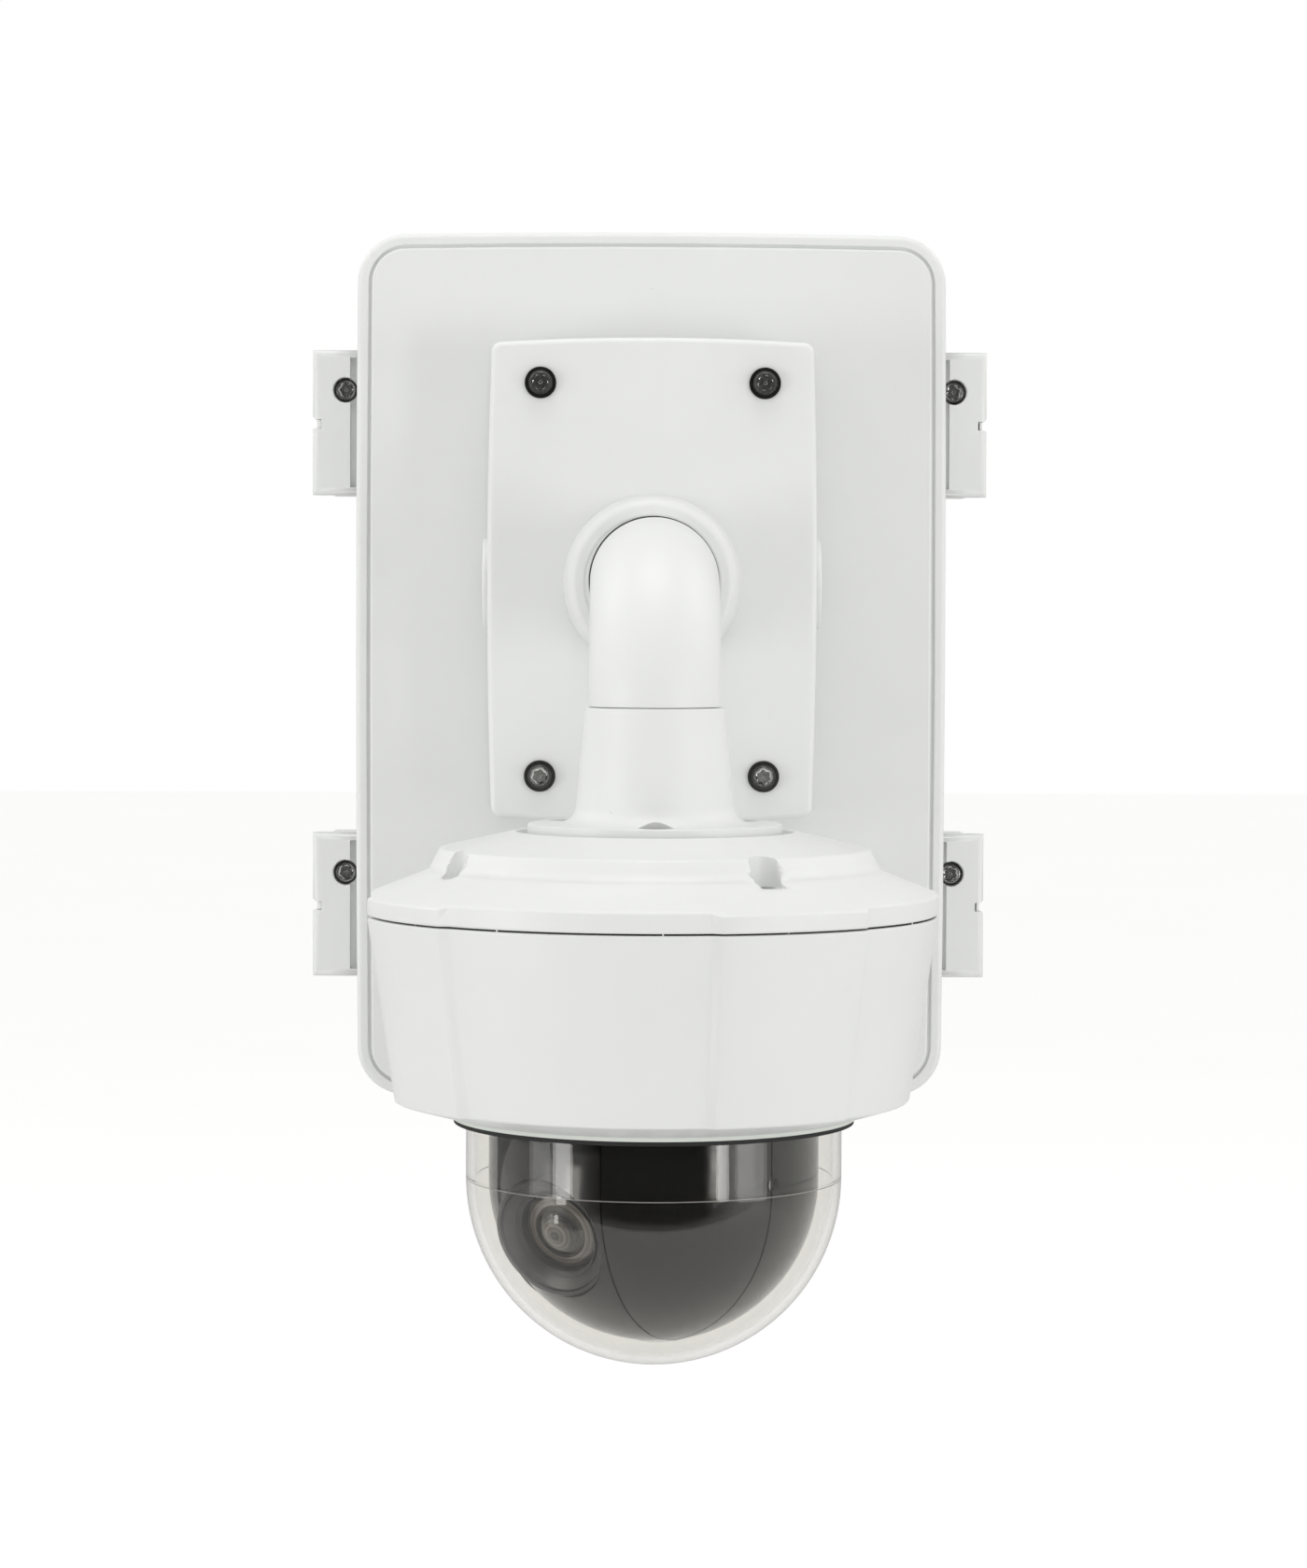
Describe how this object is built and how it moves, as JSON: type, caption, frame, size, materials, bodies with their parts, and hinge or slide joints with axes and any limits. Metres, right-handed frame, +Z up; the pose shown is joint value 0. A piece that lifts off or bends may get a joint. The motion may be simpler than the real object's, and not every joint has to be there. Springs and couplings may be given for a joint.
{
  "type": "surveillance cabinet",
  "caption": "White surveillance cabinet whose hinged door carries a hollow bracket, an elbow arm and a hanging pan-tilt dome camera.",
  "frame": {"origin": "centre of the cabinet's flat back face, which rests on the wall", "axes": "+Z up, +Y into the wall, so the door faces -Y and the camera hangs in front of it"},
  "size_m": [0.2836, 0.439, 0.4293],
  "materials": {
    "white_powder_coat": "satin powder coat, fine texture",
    "plug_white": "matt",
    "steel": "satin",
    "zinc_sheet": "zinc plated",
    "black_rubber": "matt",
    "pale_seal": "matt",
    "clear_plastic": "clear, polished",
    "grey_plastic": "matt",
    "beige_plastic": "matt",
    "black_plastic": "matt",
    "cast_aluminium": "as cast",
    "head_plastic": "fine satin",
    "lens_black": "satin",
    "lens_glass": "coated, polished",
    "circuit_board": "lacquered"
  },
  "bodies": {
    "cabinet": {"cabinet_body": "white_powder_coat", "body_gasket": "black_rubber", "mounting_plate": "zinc_sheet", "plate_screws": "steel", "din_rail": "zinc_sheet", "power_supply": "grey_plastic", "circuit_breaker": "grey_plastic", "terminal_block": "beige_plastic", "media_converter": "grey_plastic", "cable_glands": "grey_plastic", "gland_nuts": "grey_plastic"},
    "breaker_lever": {"breaker_lever": "black_plastic"},
    "door": {"door": "white_powder_coat", "hinge_pins": "steel", "door_screws": "steel", "bracket_gasket": "black_rubber", "bracket_base": "white_powder_coat", "conduit_plugs": "plug_white", "bracket_screws": "steel", "bracket_washers": "steel", "bracket_arm": "white_powder_coat", "arm_screws": "steel", "pendant_adapter": "white_powder_coat", "adapter_screws": "steel", "top_cover": "white_powder_coat", "cover_screws": "steel", "seam_gasket": "black_rubber", "lower_housing": "white_powder_coat", "dome_seal": "pale_seal", "dome_gasket": "black_rubber", "clear_dome": "clear_plastic", "dome_clamp": "black_plastic", "chassis": "cast_aluminium", "pan_bearing": "steel", "pan_motor": "black_plastic", "pan_belt": "black_rubber", "board_pillars": "steel", "main_board": "circuit_board", "slip_ring": "black_plastic"},
    "pan_drive": {"pan_motor_pulley": "black_plastic"},
    "pan_head": {"turntable": "cast_aluminium", "left_cap": "head_plastic", "right_cap": "head_plastic", "cap_screws": "steel", "pan_pulley": "black_plastic", "tilt_motor": "black_plastic", "tilt_belt": "black_rubber"},
    "tilt_drive": {"tilt_motor_pulley": "black_plastic"},
    "tilt_head": {"tilt_drum": "head_plastic", "tilt_axle": "steel", "tilt_pulley": "black_plastic", "camera_block": "lens_black", "sensor_board": "circuit_board", "lens_barrel": "lens_black", "lens_bezel": "lens_black", "lens_glass": "lens_glass"}
  },
  "joints": [
    {"name": "door_hinge", "type": "hinge", "parent": "cabinet", "child": "door", "pos_m": [-0.137, -0.0948, 0], "axis": [0, 0, -1], "range_deg": [0, 110]},
    {"name": "breaker_toggle", "type": "hinge", "parent": "cabinet", "child": "breaker_lever", "pos_m": [-0.00725, -0.0635, 0.02], "axis": [1, 0, 0], "range_deg": [0, 50]},
    {"name": "camera_pan", "type": "hinge", "parent": "door", "child": "pan_head", "pos_m": [0, -0.336, -0.183], "axis": [0, 0, 1], "continuous": true},
    {"name": "pan_motor_turn", "type": "hinge", "parent": "door", "child": "pan_drive", "pos_m": [0.0228, -0.26141, -0.1], "axis": [0, 0, 1], "continuous": true},
    {"name": "camera_tilt", "type": "hinge", "parent": "pan_head", "child": "tilt_head", "pos_m": [0, -0.336, -0.183], "axis": [0.848, -0.5299, 0], "range_deg": [-18, 72]},
    {"name": "tilt_motor_turn", "type": "hinge", "parent": "pan_head", "child": "tilt_drive", "pos_m": [0, -0.336, -0.153], "axis": [0.848, -0.5299, 0], "range_deg": [-54, 216]}
  ],
  "couplings": [
    {"joint": "pan_motor_turn", "follows": "camera_pan", "ratio": 4.5},
    {"joint": "tilt_motor_turn", "follows": "camera_tilt", "ratio": 3}
  ]
}
